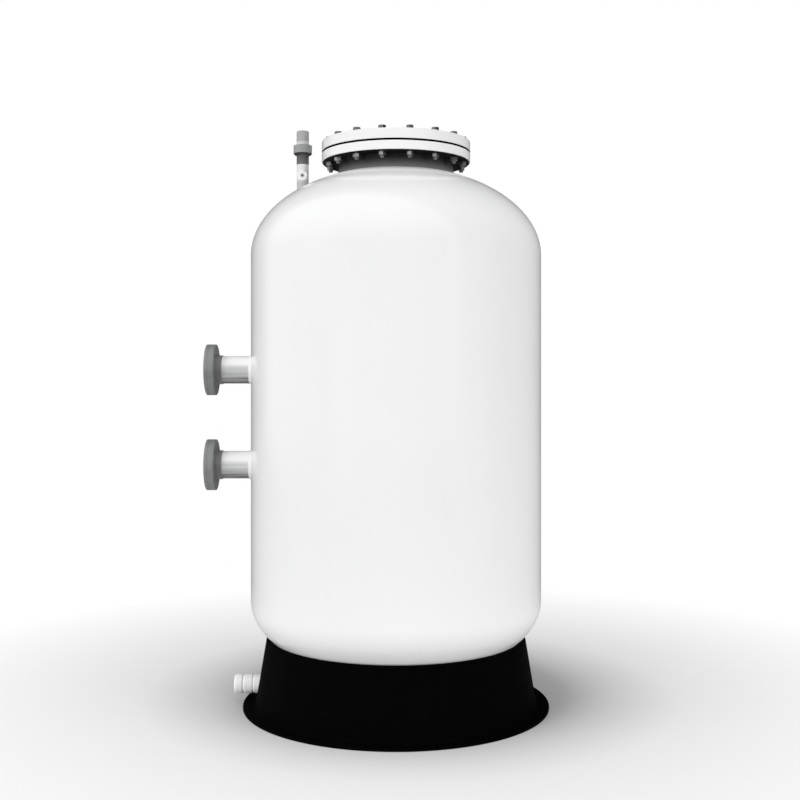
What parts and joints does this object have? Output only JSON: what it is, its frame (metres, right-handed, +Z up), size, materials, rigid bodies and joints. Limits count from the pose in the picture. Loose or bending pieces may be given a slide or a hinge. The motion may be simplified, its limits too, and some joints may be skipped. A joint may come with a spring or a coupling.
{
  "type": "vertical sand filter",
  "caption": "Upright water filter: domed white tank on a black skirt, bolted top manhole, two flanged side connections, air vent, screwed drain and slotted collector in the sand.",
  "frame": {"origin": "centre of the foot ring at floor level, on the tank's axis", "axes": "+Z up along the tank, -X towards the side connections and the drain, -Y towards the front"},
  "size_m": [1.2415, 1.107, 2.083],
  "materials": {
    "white_gelcoat": "glossy gelcoat",
    "charcoal_laminate": "satin",
    "black_moulding": "matt, fine texture",
    "black_coated_steel": "matt coating",
    "black_rubber": "matt",
    "stainless_steel": "bright turned",
    "grey_pvc": "satin",
    "pale_grey_laminate": "satin gelcoat",
    "white_plastic": "satin",
    "dark_plastic": "satin",
    "inner_pvc": "satin",
    "float_plastic": "satin",
    "gravel": "rough grain",
    "sand": "fine grain"
  },
  "bodies": {
    "filter": {"base_skirt": "black_moulding", "tank_wall": "white_gelcoat", "tank_dome": "white_gelcoat", "tank_dish": "white_gelcoat", "manhole_neck": "charcoal_laminate", "manhole_flange": "white_gelcoat", "flange_backing_ring": "black_coated_steel", "manhole_gasket": "black_rubber", "manhole_cover": "white_gelcoat", "manhole_bolts": "stainless_steel", "manhole_washers": "stainless_steel", "manhole_nuts": "stainless_steel", "inlet_nozzle": "pale_grey_laminate", "inlet_stub": "grey_pvc", "inlet_flange_ring": "grey_pvc", "outlet_nozzle": "pale_grey_laminate", "outlet_stub": "grey_pvc", "outlet_flange_ring": "grey_pvc", "inlet_elbow": "inner_pvc", "riser_pipe": "inner_pvc", "riser_top_elbow": "inner_pvc", "cross_pipe": "inner_pvc", "diffuser_elbow": "inner_pvc", "top_diffuser": "inner_pvc", "outlet_elbow": "inner_pvc", "down_pipe": "inner_pvc", "collector_elbow": "inner_pvc", "collector_header": "inner_pvc", "header_end_cap": "inner_pvc", "collector_laterals": "inner_pvc", "header_saddles": "inner_pvc", "gravel_bed": "gravel", "sand_bed": "sand", "vent_body": "white_plastic", "vent_lock_nut": "white_plastic", "union_lower_half": "grey_pvc", "union_seal": "black_rubber", "drain_strainer": "inner_pvc", "drain_elbow": "grey_pvc", "drain_pipe": "grey_pvc", "drain_body": "white_plastic", "drain_lock_ring": "white_plastic"},
    "drain_cap_thread": {"drain_cap_seal": "black_rubber"},
    "drain_cap": {"drain_cap": "white_plastic"},
    "bleed_thread": {"bleed_screw_seal": "black_rubber"},
    "bleed_screw": {"bleed_screw": "dark_plastic"},
    "air_valve": {"air_valve_body": "white_plastic", "air_valve_cap": "grey_pvc"},
    "union_nut": {"union_nut": "grey_pvc"},
    "air_valve_float": {"air_valve_float": "float_plastic"}
  },
  "joints": [
    {"name": "drain_cap_travel", "type": "slide", "parent": "filter", "child": "drain_cap_thread", "axis": [-1, 0, 0], "range_m": [0, 0.024]},
    {"name": "drain_cap_turn", "type": "hinge", "parent": "drain_cap_thread", "child": "drain_cap", "pos_m": [-0.576, 0, 0.0695], "axis": [-1, 0, 0], "range_deg": [0, 2160]},
    {"name": "bleed_screw_travel", "type": "slide", "parent": "filter", "child": "bleed_thread", "axis": [0, -1, 0], "range_m": [0, 0.004]},
    {"name": "bleed_screw_turn", "type": "hinge", "parent": "bleed_thread", "child": "bleed_screw", "pos_m": [-0.34, -0.0255, 1.91803], "axis": [0, -1, 0], "range_deg": [0, 1440]},
    {"name": "union_lift", "type": "slide", "parent": "filter", "child": "air_valve", "axis": [0, 0, 1], "range_m": [0, 0.021]},
    {"name": "union_nut_turn", "type": "hinge", "parent": "air_valve", "child": "union_nut", "pos_m": [-0.34, 0, 2.0155], "axis": [0, 0, 1], "range_deg": [0, 2520]},
    {"name": "float_rise", "type": "slide", "parent": "air_valve", "child": "air_valve_float", "axis": [0, 0, 1], "range_m": [0, 0.007]}
  ],
  "couplings": [
    {"joint": "drain_cap_travel", "follows": "drain_cap_turn", "m_per_rad": 0.00063662},
    {"joint": "bleed_screw_turn", "follows": "bleed_screw_travel", "rad_per_m": 6283.2},
    {"joint": "union_lift", "follows": "union_nut_turn", "m_per_rad": 0.00047746}
  ]
}
